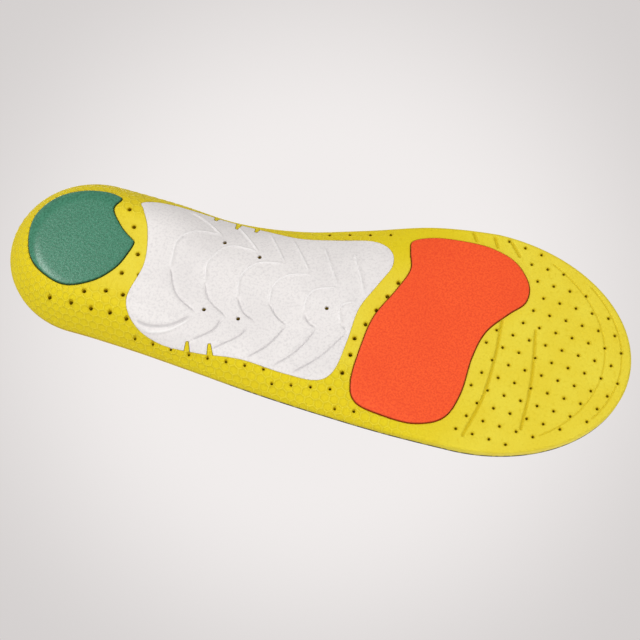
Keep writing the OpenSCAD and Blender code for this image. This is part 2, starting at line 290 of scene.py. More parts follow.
def points_of(piece):
    """The piece's vertices, in millimetres."""
    flat = np.empty(len(piece.data.vertices) * 3, np.float32)
    piece.data.vertices.foreach_get("co", flat)
    return flat.reshape(-1, 3).astype(float) / MM


def normals_of(piece):
    flat = np.empty(len(piece.data.vertices) * 3, np.float32)
    piece.data.vertex_normals.foreach_get("vector", flat)
    return flat.reshape(-1, 3).astype(float)


def move_points(piece, points):
    piece.data.vertices.foreach_set("co", (points * MM).astype(np.float32).ravel())
    piece.data.update()


def refine(piece, chosen, cuts=1):
    """Divides the edges whose both ends are chosen, so that fine relief has points to move."""
    bm = bmesh.new()
    bm.from_mesh(piece.data)
    edges = [e for e in bm.edges if chosen[e.verts[0].index] and chosen[e.verts[1].index]]
    bmesh.ops.subdivide_edges(bm, edges=edges, cuts=cuts, use_grid_fill=True)
    bm.to_mesh(piece.data)
    bm.free()


def cut(piece, *cutters):
    """Takes the cutters' volume out of the piece, and deletes them."""
    for cutter in cutters:
        carve = piece.modifiers.new("carve", "BOOLEAN")
        carve.operation = "DIFFERENCE"
        carve.solver = "MANIFOLD"
        carve.object = cutter
        bpy.context.view_layer.update()
        carved = bpy.data.meshes.new_from_object(piece.evaluated_get(bpy.context.evaluated_depsgraph_get()))
        piece.modifiers.remove(carve)
        piece.data = carved
        bpy.data.objects.remove(cutter)


def finish_surface(piece, finish, sharp=38):
    """Smooth shading that breaks where faces meet at more than the sharp angle, and one finish."""
    bm = bmesh.new()
    bm.from_mesh(piece.data)
    for face in bm.faces:
        face.smooth = True
        face.material_index = 0
    for edge in bm.edges:
        edge.smooth = not (edge.is_manifold and edge.calc_face_angle(0) > math.radians(sharp))
    bm.to_mesh(piece.data)
    bm.free()
    piece.data.materials.clear()
    piece.data.materials.append(finish)


def attribute(piece, name, values):
    """A number at each vertex, for the finish to read."""
    layer = piece.data.attributes.new(name, "FLOAT", "POINT")
    layer.data.foreach_set("value", np.asarray(values, np.float32))


def keep(piece, slot, *nodes):
    """Rides on the body and stands for its CAD nodes; the slot is not used."""
    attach(piece, "root")
    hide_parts(*nodes)


# ---------- the rim's own coordinates ----------
# The rim is walked in five turns: half the toe, the outer side, the heel, the inner side, the rest of the toe
RIM_TURNS = 5
# Where the mesh goes from fine columns to wide ones, and how far apart the wide ones are
FINE_UNTIL, WIDE_STEP = 52, 1.2


def rim_columns(step_fine, step_wide):
    """Where each column of the foam stands on the middle line, and its full reach lengthways and sideways."""
    side = np.concatenate((
        np.arange(HEEL_X, FINE_UNTIL, step_fine), np.arange(FINE_UNTIL, BALL_X, step_wide), [BALL_X]))
    heel_count = round(math.pi * (HEEL_REACH + HALF_WIDTH[0]) / 2 / step_fine)
    toe_count = round(math.pi * (TOE_REACH + HALF_WIDTH[-1]) / 2 / step_wide)
    turn_heel = np.linspace(0, math.pi, heel_count + 1)[1:-1]
    turn_toe = np.linspace(-math.pi / 2, math.pi / 2, toe_count + 1)[1:-1]
    spine = np.concatenate((
        side[::-1], np.full(heel_count - 1, HEEL_X), side, np.full(toe_count - 1, BALL_X)))
    ahead = np.concatenate((
        0 * side, -HEEL_REACH * np.sin(turn_heel), 0 * side, TOE_REACH * np.cos(turn_toe)))
    aside = np.concatenate((0 * side + 1, np.cos(turn_heel), 0 * side - 1, np.sin(turn_toe)))
    return spine, ahead, aside


def column_point(columns, reach):
    spine, ahead, aside = columns
    x = spine + reach * ahead
    return x, mid_line(x) + along(HALF_WIDTH, x) * reach * aside


def rim_place(x, y):
    """Distance round the rim from the toe, and distance in from the rim over the underside."""
    columns, rows = 1000, 120
    turns = np.linspace(0, RIM_TURNS, columns + 1)
    around = rim_turn(turns)
    edge_x, edge_y = column_point(around, 1.0)
    walked = np.concatenate(([0], np.hypot(np.diff(edge_x), np.diff(edge_y)).cumsum()))
    grid = [column_point(around, reach) for reach in np.linspace(1, 0, rows + 1)]
    solid = np.array([np.column_stack((gx, gy, under(gx, gy))) for gx, gy in grid])
    steps_in = np.linalg.norm(np.diff(solid, axis=0), axis=2)
    inward = np.concatenate((np.zeros((1, columns + 1)), steps_in.cumsum(0)))
    ahead, across = overrun(x), (y - mid_line(x)) / along(HALF_WIDTH, x)
    outer, length = across >= 0, BALL_X - HEEL_X
    toe_turn = np.where(outer, np.arctan2(across, ahead), np.arctan2(ahead, -across)) / (math.pi / 2)
    side_turn = np.where(outer, 1 + (BALL_X - x) / length, 3 + (x - HEEL_X) / length)
    heel_turn = 2 + np.arctan2(-ahead, across) / math.pi
    turn = np.where(
        x > BALL_X, toe_turn + np.where(outer, 0, 4), np.where(x < HEEL_X, heel_turn, side_turn))
    col = np.clip(turn / RIM_TURNS * columns, 0, columns - 0.001)
    row = np.clip((1 - np.hypot(ahead, across)) * rows, 0, rows - 0.001)
    c, r = col.astype(int), row.astype(int)
    fc, fr = col - c, row - r
    deep = (inward[r, c] * (1 - fc) * (1 - fr) + inward[r, c + 1] * fc * (1 - fr)
            + inward[r + 1, c] * (1 - fc) * fr + inward[r + 1, c + 1] * fc * fr)
    return np.interp(turn, turns, walked), deep


def rim_turn(turns):
    """Columns at turns from 0 at the toe, by the outer side to the heel at 2.5, and on to the toe at 5."""
    toe = (turns < 1) | (turns > 4)
    heel = (turns > 2) & (turns < 3)
    outer_toe, inner_toe = turns * math.pi / 2, (turns - 4) * math.pi / 2
    heel_turn = (turns - 2) * math.pi
    spine = np.where(toe, BALL_X, np.where(heel, HEEL_X, np.where(
        turns < 2.5, BALL_X - (turns - 1) * (BALL_X - HEEL_X), HEEL_X + (turns - 3) * (BALL_X - HEEL_X))))
    ahead = np.where(turns < 1, TOE_REACH * np.cos(outer_toe), np.where(
        turns > 4, TOE_REACH * np.sin(inner_toe), np.where(heel, -HEEL_REACH * np.sin(heel_turn), 0)))
    aside = np.where(turns < 1, np.sin(outer_toe), np.where(
        turns > 4, -np.cos(inner_toe), np.where(heel, np.cos(heel_turn), np.where(turns < 2.5, 1.0, -1.0))))
    return spine, ahead, aside


def comb_mask(x, y):
    """Where the honeycomb is moulded: the walls, fading out towards the forefoot."""
    reach, share = reach_of(x, y)
    fade_x = mixed(1 - smoothstep(5, 40, x), 1 - smoothstep(38, 72, x), share)
    return smoothstep(0.42, 0.56, reach) * fade_x


def cell_edge(u, v, pitch):
    """Distance from a point to the edge of its hexagonal cell, below 0 outside both of the nearest cells."""
    tall = pitch * math.sqrt(3)
    depths = []
    for offset in (0, 0.5):
        qx = np.abs((u / pitch + offset) % 1 - 0.5) * pitch
        qy = np.abs((v / tall + offset) % 1 - 0.5) * tall
        depths.append(pitch / 2 - np.maximum(qx, qx / 2 + qy * math.sqrt(3) / 2))
    return np.maximum(*depths)


# ---------- shells from plan curves ----------
# Spacing of the points round an insert, the shank and a pad's cement, and how far the cement stops short
PLAN_STEP, SHANK_STEP, FILM_STEP, FILM_INSET = 0.7, 0.9, 1.5, 0.3
# How high and low the cutters run, and how far a drill's wide end runs below its mouth
CUT_HIGH, CUT_LOW, DRILL_STEM = 40, -3, 6


def shell(name, columns, low, high, inset=0.0, round_low=0.0, rings=30, top_rings=16):
    """A layer with the insole's outline, between two heights, its lower edge rounded."""
    spine, ahead, aside = columns
    full = np.hypot(ahead, along(HALF_WIDTH, spine) * aside)
    rows = []
    for k in range(rings + 1):
        reach = math.sin(math.pi / 2 * k / rings) * (1 - (round_low + inset) / full)
        x, y = column_point(columns, reach)
        rows.append(np.column_stack((x, y, low(x, y))))
    edge_x, edge_y = column_point(columns, 1 - inset / full)
    low_z, high_z = low(edge_x, edge_y), high(edge_x, edge_y)
    bend = np.minimum(round_low, 0.42 * (high_z - low_z))
    if round_low:
        for turn in np.radians((22.5, 45, 67.5, 90)):
            x, y = column_point(columns, 1 - (inset + round_low * (1 - math.sin(turn))) / full)
            rows.append(np.column_stack((x, y, low(x, y) + bend * (1 - math.cos(turn)))))
    start = low_z + (bend if round_low else 0)
    for share in ((0.33, 0.67, 1) if round_low else (1,)):
        rows.append(np.column_stack((edge_x, edge_y, start + (high_z - start) * share)))
    for k in range(1, top_rings + 1):
        reach = math.cos(math.pi / 2 * k / top_rings) * (1 - inset / full)
        x, y = column_point(columns, reach)
        rows.append(np.column_stack((x, y, high(x, y))))
    return skin(name, rows)


def plate(name, plan, step, rings, low, high, rounding=0.0, grow=0.0):
    """An insert between two heights, its outline grown outwards, with the lower edge rounded."""
    mid = placed([plan[0]])[0]
    loop = spline(placed(plan[1]), step, closed=True)
    out = outward(loop)

    def row(points, height, extra=0.0):
        return np.column_stack((points, height(*points.T) + extra))

    edge = loop + out * grow
    inner = edge - out * rounding
    rows = [row(mid + (inner - mid) * share, low) for share in np.linspace(0, 1, rings + 1)]
    for turn in np.radians((18, 36, 54, 72, 90)) if rounding else ():
        rows.append(row(edge - out * rounding * (1 - math.sin(turn)), low, rounding * (1 - math.cos(turn))))
    rows += [row(mid + (edge - mid) * share, high) for share in np.linspace(1, 0, 9)]
    return skin(name, rows)


def pocket(name, plan, step, rings, depth, lip, gap=POCKET_GAP):
    """What is taken out of the foam for an insert: its outline and gap, with a rounded lip at the mouth."""
    mid = placed([plan[0]])[0]
    loop = spline(placed(plan[1]), step, closed=True)
    out = outward(loop)
    rows = []

    def add(points, z):
        rows.append(np.column_stack((points, z)))

    mouth = loop + out * (gap + lip)
    for share in (0, 1):
        spot = mid + (mouth - mid) * share
        add(spot, np.full(len(spot), CUT_LOW))
    for turn in np.radians((90, 67.5, 45, 22.5, 0)):
        spot = loop + out * (gap + lip * (1 - math.cos(turn)))
        clear = 0.02 if turn == math.pi / 2 else 0
        add(spot, under(*spot.T) + lip * (1 - math.sin(turn)) - clear)
    edge = loop + out * gap
    for share in np.linspace(1, 0, rings + 1):
        spot = mid + (edge - mid) * share
        add(spot, under(*spot.T) + depth)
    return skin(name, rows)


def fingers(name, slack):
    """Tapered tongues at the shank's edge, as tall wedges."""
    bm = bmesh.new()
    for root, tip in FINGERS:
        root, tip = placed([root, tip])
        length = np.hypot(*(tip - root)) + slack
        made = bmesh.ops.create_cube(bm, size=1)["verts"]
        for vert in made:
            far = vert.co.x > 0
            vert.co.x = length if far else 0
            vert.co.y *= (FINGER_TIP if far else FINGER_ROOT) + 2 * slack
            vert.co.z = CUT_HIGH if vert.co.z > 0 else CUT_LOW
        turn = math.atan2(tip[1] - root[1], tip[0] - root[0])
        round_edges = [e for e in bm.edges if all(v in made and abs(v.co.x - length) < 1e-6 for v in e.verts)
                       and abs(e.verts[0].co.z - e.verts[1].co.z) > 1]
        bevelled = bmesh.ops.bevel(
            bm, geom=round_edges, offset=FINGER_TIP * 0.4, offset_type="OFFSET", segments=3, profile=0.5,
            affect="EDGES", material=-1)
        whole = [v for v in {*made, *bevelled["verts"]} if v.is_valid]
        bmesh.ops.rotate(bm, verts=whole, cent=(0, 0, 0), matrix=Matrix.Rotation(turn, 3, "Z"))
        bmesh.ops.translate(bm, verts=whole, vec=(root[0], root[1], 0))
    bmesh.ops.scale(bm, verts=bm.verts, vec=(MM, MM, MM))
    bmesh.ops.recalc_face_normals(bm, faces=bm.faces)
    return show(name, bm)


def lengthen(bm, ring):
    """Extrudes the face that closes a ring of vertices, and returns the new ring."""
    cap = [f for f in ring[0].link_faces if all(v in ring for v in f.verts)]
    grown = bmesh.ops.extrude_face_region(bm, geom=cap)["geom"]
    bmesh.ops.delete(bm, geom=cap, context="FACES_ONLY")
    return [g for g in grown if isinstance(g, bmesh.types.BMVert)]


def drills(name, holes, countersink):
    """Round cutters for (x, y, diameter, mouth height) holes, each opening a little at the mouth."""
    bm = bmesh.new()
    for x, y, width, mouth in holes:
        made = bmesh.ops.create_cone(
            bm, cap_ends=True, segments=20, radius1=width / 2, radius2=width / 2, depth=1)["verts"]
        ring = [v for v in made if v.co.z < 0]
        for vert in made:
            vert.co.z = mouth + countersink * 1.2 if vert in ring else CUT_HIGH
        wider = 1 + 2 * countersink / width
        for spread, height in ((wider, mouth - countersink * 0.05), (1, mouth - DRILL_STEM)):
            ring = lengthen(bm, ring)
            bmesh.ops.scale(bm, verts=ring, vec=(spread, spread, 1))
            for vert in ring:
                vert.co.z = height
            made += ring
        bmesh.ops.translate(bm, verts=made, vec=(x, y, 0))
    bmesh.ops.scale(bm, verts=bm.verts, vec=(MM, MM, MM))
    bmesh.ops.recalc_face_normals(bm, faces=bm.faces)
    return show(name, bm)


# ---------- shader maths ----------
class Value:
    """A socket in a finish, for writing shader maths as expressions."""

    def __init__(self, finish, socket):
        self.finish, self.socket = finish, socket

    def math(self, operation, *others):
        values = dict(enumerate((self, *others)))
        return self.finish.node("ShaderNodeMath", {"operation": operation}, values)

    def _back(self, operation, other):
        return self.finish.node("ShaderNodeMath", {"operation": operation}, {0: other, 1: self})

    def __add__(self, other):
        return self.math("ADD", other)

    __radd__ = __add__

    def __sub__(self, other):
        return self.math("SUBTRACT", other)

    def __rsub__(self, other):
        return self._back("SUBTRACT", other)

    def __mul__(self, other):
        return self.math("MULTIPLY", other)

    __rmul__ = __mul__

    def __truediv__(self, other):
        return self.math("DIVIDE", other)

    def __abs__(self):
        return self.math("ABSOLUTE")

    def step(self, low, high):
        """0 below low, 1 above high, smooth between."""
        return self.finish.node(
            "ShaderNodeMapRange", {"interpolation_type": "SMOOTHSTEP"},
            {0: self, 1: low, 2: high, 3: 0.0, 4: 1.0})


class Finish:
    """A material whose nodes are added by name, with its settings first and then its sockets."""

    def __init__(self, name):
        self.material = bpy.data.materials.new(name)
        self.material.use_nodes = True
        self.tree = self.material.node_tree
        self.tree.nodes.clear()

    def node(self, kind, settings=None, values=None, out=0):
        made = self.tree.nodes.new(kind)
        for key, value in (settings or {}).items():
            setattr(made, key, value)
        for key, value in (values or {}).items():
            if isinstance(value, Value):
                self.tree.links.new(value.socket, made.inputs[key])
            else:
                made.inputs[key].default_value = value
        return Value(self, made.outputs[out]) if made.outputs else None

    def place(self):
        """Object coordinates in millimetres."""
        here = self.node("ShaderNodeTexCoord", out="Object")
        return self.node("ShaderNodeVectorMath", {"operation": "SCALE"}, {0: here, "Scale": 1000.0})

    def split(self, vector):
        parts = self.node("ShaderNodeSeparateXYZ", values={0: vector})
        return [Value(self, parts.socket.node.outputs[k]) for k in range(3)]

    def joined(self, x, y):
        return self.node("ShaderNodeCombineXYZ", values={0: x, 1: y})

    def noise(self, where, scale, detail=2.0, rough=0.5):
        return self.node("ShaderNodeTexNoise", values={
            "Vector": where, "Scale": scale, "Detail": detail, "Roughness": rough})

    def at(self, name):
        return self.node("ShaderNodeAttribute", {"attribute_name": name}, out="Fac")

    def mix(self, factor, a, b):
        """One colour turned into another."""
        ends = {key: end if isinstance(end, Value) else (*end, 1) for key, end in ((6, a), (7, b))}
        return self.node("ShaderNodeMix", {"data_type": "RGBA"}, {0: factor, **ends}, out=2)

    def bump(self, height, distance, strength=1.0, under=None):
        values = {"Height": height, "Distance": distance * MM, "Strength": strength}
        if under is not None:
            values["Normal"] = under
        return self.node("ShaderNodeBump", values=values)

    def surface(self, colour, rough, normal=None, level=0.5, sheen=0.0):
        values = {
            "Base Color": colour, "Roughness": rough, "Specular IOR Level": level, "Sheen Weight": sheen}
        if normal is not None:
            values["Normal"] = normal
        shader = self.node("ShaderNodeBsdfPrincipled", values=values)
        self.node("ShaderNodeOutputMaterial", values={"Surface": shader})
        return self.material


def linear(rgb):
    """A screen colour from 0 to 255 as the linear values that shaders use."""
    return tuple((c / 255 / 12.92 if c <= 10 else ((c / 255 + 0.055) / 1.055) ** 2.4) for c in rgb)


def cell_value(u, v, pitch):
    """The same distance to a hexagonal cell's edge as cell_edge(), on shader values."""
    tall = pitch * math.sqrt(3)
    parts = []
    for offset in (0.0, 0.5):
        qx = abs((u / pitch + offset).math("FLOORED_MODULO", 1.0) - 0.5) * pitch
        qy = abs((v / tall + offset).math("FLOORED_MODULO", 1.0) - 0.5) * tall
        parts.append(pitch / 2 - qx.math("MAXIMUM", qx * 0.5 + qy * (math.sqrt(3) / 2)))
    return parts[0].math("MAXIMUM", parts[1])


# ---------- finishes ----------
def foam_finish(look, sizes):
    """Moulded foam: fine pebble, honeycomb ridges on the walls with a painted highlight on them and painted
    shade at their foot, and painted shade in the grooves and round the holes.
    """
    f = Finish("moulded_foam")
    where = f.place()
    comb = f.at("comb")
    edge = cell_value(f.at("rim_along"), f.at("rim_in"), sizes.comb_pitch / MM)
    patch = f.noise(where, 0.05, 2.0)
    ridge = (1 - edge.step(0.0, 0.4)) * comb
    ridge_foot_shade = edge.step(0.25, 0.5) * (1 - edge.step(0.5, 1.2)) * comb
    dip = f.at("dip")
    pebble = f.noise(where, 0.85, 3.0, 0.6)
    bead = f.node("ShaderNodeTexVoronoi", {"feature": "SMOOTH_F1"}, {
        "Vector": where, "Scale": 0.75, "Smoothness": 0.4})
    skin_grain = f.noise(where, 3.2, 2.0)
    speck = f.noise(where, 0.9, 1.0).step(0.58, 0.7)
    # the walls are coloured a deeper, more saturated yellow than the flat toe area, fading out towards the
    # toes
    tone = f.mix(f.at("wall"), look.foam_front, look.foam_wall)
    tone = f.mix(patch.step(0.3, 0.7) * 0.35, tone, look.foam_shade)
    tone = f.mix(speck * 0.2, tone, look.foam_shade)
    tone = f.mix(bead.step(0.55, 0.95) * 0.3, tone, look.foam_grain_and_groove_shade)
    tone = f.mix(skin_grain.step(0.5, 0.8) * 0.22, tone, look.foam_shade)
    # painted highlight: the honeycomb's ridges are coloured paler, as if they catch the light
    tone = f.mix(ridge * 0.5, tone, look.foam_ridge_highlight)
    # painted shade: a deeper yellow in the band at the foot of each ridge, inside its cell
    tone = f.mix(ridge_foot_shade * 0.35, tone, look.foam_grain_and_groove_shade)
    # painted shade in the flex grooves, along the trim lines and round each hole's mouth
    tone = f.mix(dip * 0.8, tone, look.foam_grain_and_groove_shade)
    height = pebble * 0.5 + skin_grain * 0.3 - bead * 0.4 + ridge * 0.6
    normal = f.bump(height, 0.3, 0.9)
    rough = 0.56 + pebble * 0.18 + ridge * 0.2
    return f.surface(tone, rough, normal, level=0.2)


def pad_finish(name, body, deep, rough, grain):
    """Satin elastomer: an even colour with faint mottling and a fine eggshell skin, and painted shade round
    its edge.
    """
    f = Finish(name)
    where = f.place()
    mottle = f.noise(where, 0.45, 3.0, 0.6)
    cloud = f.noise(where, 0.03, 1.0)
    grit = f.noise(where, 1.15, 2.0, 0.6)
    tone = f.mix(mottle.step(0.45, 0.75) * 0.4, body, deep)
    tone = f.mix(cloud.step(0.4, 0.7) * 0.2, tone, deep)
    tone = f.mix(grit.step(0.42, 0.62) * 0.8, tone, deep)
    # painted shade: the pad's side wall and the outer part of its rounding take a much darker shade of the
    # mottling colour
    tone = f.mix(f.at("side") * 0.8, tone, tuple(c * 0.42 for c in deep))
    normal = f.bump(grit, 0.09 * grain, 0.8, f.bump(mottle, 0.15 * grain, 0.5))
    return f.surface(tone, rough + grit * 0.15, normal, level=0.4)


def shank_finish(look):
    """Pale moulded plastic with a spark-eroded grain, a painted highlight on its raised lines and painted
    shade in its sunk ones.
    """
    f = Finish("shank_plastic")
    where = f.place()
    grit = f.noise(where, 0.9, 3.0, 0.65)
    cloud = f.noise(where, 0.04, 2.0)
    relief = f.at("relief")
    tone = f.mix(grit.step(0.42, 0.72) * 0.55, look.shank, look.shank_shade)
    tone = f.mix(cloud.step(0.4, 0.7) * 0.2, tone, look.shank_shade)
    # painted highlight: near white on the raised relief lines
    tone = f.mix(relief.step(0.3, 1.0) * 0.4, tone, linear((252, 250, 249)))
    # painted shade: grey in the sunk relief lines
    tone = f.mix((relief * -1.0).step(0.3, 1.0) * 0.5, tone, linear((176, 172, 174)))
    return f.surface(tone, 0.48 + grit * 0.16, f.bump(grit, 0.12, 0.7), level=0.3)


def cement_finish():
    """Dried contact cement, a little cloudy."""
    f = Finish("dried_cement")
    cloud = f.noise(f.place(), 0.6, 3.0, 0.6)
    tone = f.mix(cloud, linear((222, 210, 150)), linear((190, 176, 120)))
    return f.surface(tone, 0.3 + cloud * 0.3, f.bump(cloud, 0.05))


def backing_finish(look):
    """Dark felt: short fibres lying both ways."""
    f = Finish("dark_felt")
    where = f.place()
    fibres = []
    for stretch in ((0.6, 4.0, 4.0), (4.0, 0.6, 4.0)):
        drawn = f.node("ShaderNodeMapping", values={"Vector": where, "Scale": stretch})
        fibres.append(f.noise(drawn, 1.0, 4.0, 0.7))
    nap = fibres[0].math("MAXIMUM", fibres[1])
    tone = f.mix(nap.step(0.45, 0.8), look.backing, linear((70, 74, 66)))
    return f.surface(tone, 0.95, f.bump(nap, 0.12), sheen=0.2)


def street_blocks(f, where):
    """1 on the blocks and 0 on the streets: slanting avenues, blocks split at random, three through roads."""
    turned = f.node("ShaderNodeVectorRotate", {"rotation_type": "Z_AXIS"}, {
        "Vector": where, "Angle": math.radians(31)})
    drift = f.noise(turned, 0.011, 1.0) - 0.5
    x, y, _ = f.split(turned)
    x, y = x + drift * 9, y - drift * 6
    long_block, short_block = 14.0, 11.0
    fx, fy = (x / long_block).math("FLOORED_MODULO", 1.0), (y / short_block).math("FLOORED_MODULO", 1.0)
    corner = f.joined((x / long_block).math("FLOOR"), (y / short_block).math("FLOOR"))
    chance = f.node("ShaderNodeTexWhiteNoise", {"noise_dimensions": "2D"}, {"Vector": corner}, out="Color")
    first, second, _ = f.split(chance)
    blocks = 1.0
    for share, size, pick, most, street, lane in (
            (fx, long_block, first, 2.7, 0.62, 0.34), (fy, short_block, second, 2.9, 0.52, 0.3)):
        avenue = (0.5 - abs(share - 0.5)) * size
        parts = (pick * most).math("FLOOR") + 1
        lanes = abs((share * parts + 0.5).math("FLOORED_MODULO", 1.0) - 0.5) / parts * size
        blocks = avenue.step(street, street + 0.14) * lanes.step(lane, lane + 0.14) * blocks
    for slant, offset, wide in ((0.35, -12.0, 0.75), (-1.25, 62.0, 0.7), (2.6, -96.0, 0.6)):
        away = abs(y - x * slant - offset) / math.hypot(1, slant)
        blocks = away.step(wide, wide + 0.16) * blocks
    return blocks


def cover_finish(look):
    """Knitted cover: a street-grid print on the forefoot that thins out to plain knit at the heel."""
    f = Finish("printed_knit")
    x, y = f.at("laid_x"), f.at("laid_y")
    where = f.joined(x, y)
    warp = f.noise(where, 0.2, 1.0) - 0.5
    wales = (x * (math.pi / 0.85) + warp * 0.8).math("SINE")
    courses = (y * (math.pi / 0.72) + wales * 0.35).math("SINE")
    stitch = abs(wales) * abs(courses)
    fuzz = f.noise(where, 2.6, 3.0, 0.7)
    front = (x + (f.noise(where, 0.03, 2.0) - 0.5) * 30).step(-62.0, 8.0)
    thin = front * 1.5 - stitch * 0.55 - fuzz * 0.35
    ink = street_blocks(f, where) * thin.step(0.08, 0.62)
    yarn = f.mix(stitch.step(0.1, 0.9), look.knit_shade, look.knit)
    yarn = f.mix(fuzz.step(0.5, 0.8) * 0.25, yarn, look.knit_shade)
    yarn = f.mix(front * 0.75, yarn, look.print_line)
    dark = f.mix(fuzz.step(0.4, 0.8) * 0.35 + stitch * 0.1, look.print_block, linear((84, 62, 84)))
    tone = f.mix(ink, yarn, dark)
    tone = f.mix(f.at("cut_edge") * front * 0.8, tone, linear((58, 58, 18)))
    normal = f.bump(stitch * 0.8 + fuzz * 0.3, 0.16, 0.8)
    return f.surface(tone, 0.72 + fuzz * 0.15, normal, sheen=0.15, level=0.3)


# ---------- what a user would change ----------
def colour_property(name, description, rgb):
    return FloatVectorProperty(
        name=name, description=description, default=linear(rgb), subtype="COLOR", min=0, max=1)


def length_property(name, description, size):
    """A length given in millimetres."""
    return FloatProperty(name=name, description=description, default=size * MM, unit="LENGTH")


class InsoleSizes(bpy.types.PropertyGroup):
    """Sizes that only the visible pieces have."""

    comb_pitch: length_property("Honeycomb pitch", "From one cell of the wall's honeycomb to the next", 4.3)
    comb_depth: length_property("Honeycomb depth", "How far the lines between the cells stand out", 0.24)
    pad_round: length_property("Pad rounding", "Radius of the pads' outer edges", 0.5)
    pocket_lip: length_property("Pocket lip", "Radius of the foam's edge round each pocket", 0.45)
    edge_round: length_property("Sole edge rounding", "Radius of the foam's lower edge", 1.5)
    relief: length_property("Shank relief", "Height of the lines moulded on the shank", 0.5)
    groove_depth: length_property("Flex groove depth", "Depth of the grooves under the toes", 0.8)
    trim_depth: length_property("Trim line depth", "Depth of the lines to cut along", 0.3)
    columns: length_property("Foam mesh step", "Spacing of the foam's points round the heel and arch", 0.62)


class InsoleLook(bpy.types.PropertyGroup):
    """Colours of the pieces."""

    foam_front: colour_property("Foam at the toes", "Colour of the foam under the toes", (232, 214, 62))
    foam_wall: colour_property("Foam walls", "Colour of the foam's walls", (226, 206, 22))
    foam_shade: colour_property("Foam patches", "Deeper patches in the foam", (224, 194, 16))
    # a deeper yellow for the foam's beaded grain, and the colour of the painted shade in the grooves, at the
    # ridges' foot and round the holes
    foam_grain_and_groove_shade: colour_property("Foam grooves", "Colour in the grooves and round the holes", (206, 180, 0))
    # the colour of the painted highlight on the honeycomb's ridges
    foam_ridge_highlight: colour_property("Foam ridges", "Colour on the honeycomb's ridges", (244, 226, 74))
    heel_pad: colour_property("Heel pad", "Colour of the heel pad", (66, 134, 106))
    # also darkened for the painted shade on the heel pad's side
    heel_pad_deep: colour_property("Heel pad mottling", "Deeper green in the heel pad", (38, 104, 76))
    forefoot_pad: colour_property("Forefoot pad", "Colour of the forefoot pad", (250, 88, 26))
    # also darkened for the painted shade on the forefoot pad's side
    forefoot_pad_deep: colour_property("Forefoot pad mottling", "Deeper orange in the pad", (232, 66, 14))
    shank: colour_property("Shank", "Colour of the arch shank", (234, 230, 228))
    shank_shade: colour_property("Shank grain", "Colour in the shank's grain", (206, 202, 202))
    backing: colour_property("Cover backing", "Colour of the felt under the cover", (38, 42, 36))
    knit: colour_property("Knit", "Colour of the cover at the heel", (236, 212, 62))
    knit_shade: colour_property("Knit shade", "Colour between the cover's stitches", (206, 170, 24))
    print_line: colour_property("Print lines", "Colour of the streets in the print", (236, 226, 96))
    print_block: colour_property("Print blocks", "Colour of the blocks in the print", (44, 24, 44))


class InsoleStage(bpy.types.PropertyGroup):
    """The camera and the light."""

    focal_length: FloatProperty(
        name="Lens", description="Focal length in millimetres", default=85, min=20, max=200)
    turn: FloatProperty(
        name="Turn", description="How far the sole is turned in the view",
        default=math.radians(14), unit="ROTATION")
    tilt: FloatProperty(
        name="Tilt", description="How far the view leans to the outer side",
        default=math.radians(20), unit="ROTATION")
    distance: FloatProperty(
        name="Distance", description="From the camera to the sole", default=0.6775, unit="LENGTH")
    key: FloatProperty(
        name="Main light", description="Power of the main light in watts", default=4.3, min=0)
    fill: FloatProperty(
        name="Surrounding light", description="Strength of the light from all round", default=0.63, min=0)
    # the backdrop's brighter centre and darker corners are a painted pool of light
    corner: colour_property("Backdrop corners", "Colour of the backdrop's corners", (213, 209, 208))
    centre: colour_property("Backdrop centre", "Colour of the backdrop's centre", (241, 237, 236))


